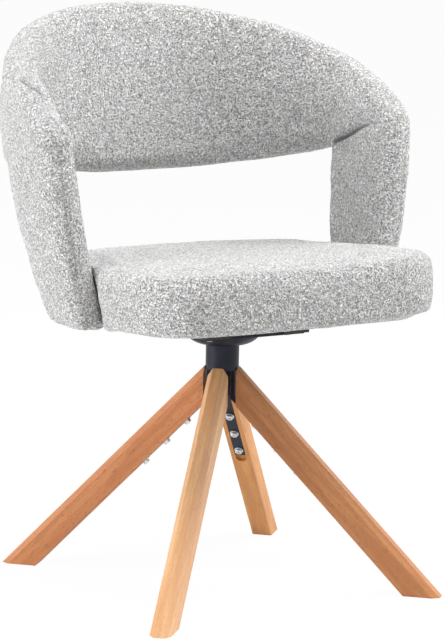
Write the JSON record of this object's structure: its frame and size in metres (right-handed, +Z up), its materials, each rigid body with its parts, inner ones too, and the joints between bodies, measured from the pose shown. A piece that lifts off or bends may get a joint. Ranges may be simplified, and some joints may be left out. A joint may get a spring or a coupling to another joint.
{
  "type": "swivel dining chair",
  "caption": "Swivel dining chair with a padded seat, an open horseshoe back that wraps into arm posts, and splayed wooden legs.",
  "frame": {"origin": "on the floor, under the swivel axis", "axes": "+Z up along the swivel axis, the sitter faces -Y, +X to the sitter's left"},
  "size_m": [0.6111, 0.5718, 0.8195],
  "materials": {
    "boucle": "looped wool bouclé, cream and light grey",
    "beech": "clear satin lacquer",
    "black_metal": "black powder coat, satin",
    "zinc": "bright zinc",
    "plain_steel": "machined",
    "bearing_plastic": "acetal",
    "black_wood": "black paint",
    "plywood": "raw",
    "black_cloth": "non-woven"
  },
  "bodies": {
    "base": {"bearing_housing": "plain_steel", "bush_lower": "bearing_plastic", "bush_upper": "bearing_plastic", "column_tube": "black_metal", "leg_front_left": "beech", "leg_front_right": "beech", "leg_rear_left": "beech", "leg_rear_right": "beech", "leg_screws": "zinc", "leg_washers": "zinc", "strap_front_left": "black_metal", "strap_front_right": "black_metal", "strap_rear_left": "black_metal", "strap_rear_right": "black_metal", "thrust_washer": "bearing_plastic"},
    "seat": {"arm_bracket_left": "plain_steel", "arm_bracket_right": "plain_steel", "back_cushion": "boucle", "back_frame": "plain_steel", "bracket_bolts": "zinc", "bracket_nuts": "zinc", "dust_cover": "black_cloth", "plate_screws": "zinc", "post_left": "boucle", "post_right": "boucle", "rail_screws": "zinc", "retainer_clip": "plain_steel", "retainer_washer": "plain_steel", "seat_board": "plywood", "seat_cushion": "boucle", "seat_rail_left": "black_wood", "seat_rail_right": "black_wood", "spindle": "plain_steel", "swivel_cover": "black_metal", "swivel_plate": "black_metal"}
  },
  "joints": [
    {"name": "seat_swivel", "type": "hinge", "parent": "base", "child": "seat", "pos_m": [0, 0, 0.36], "axis": [0, 0, 1], "continuous": true}
  ]
}
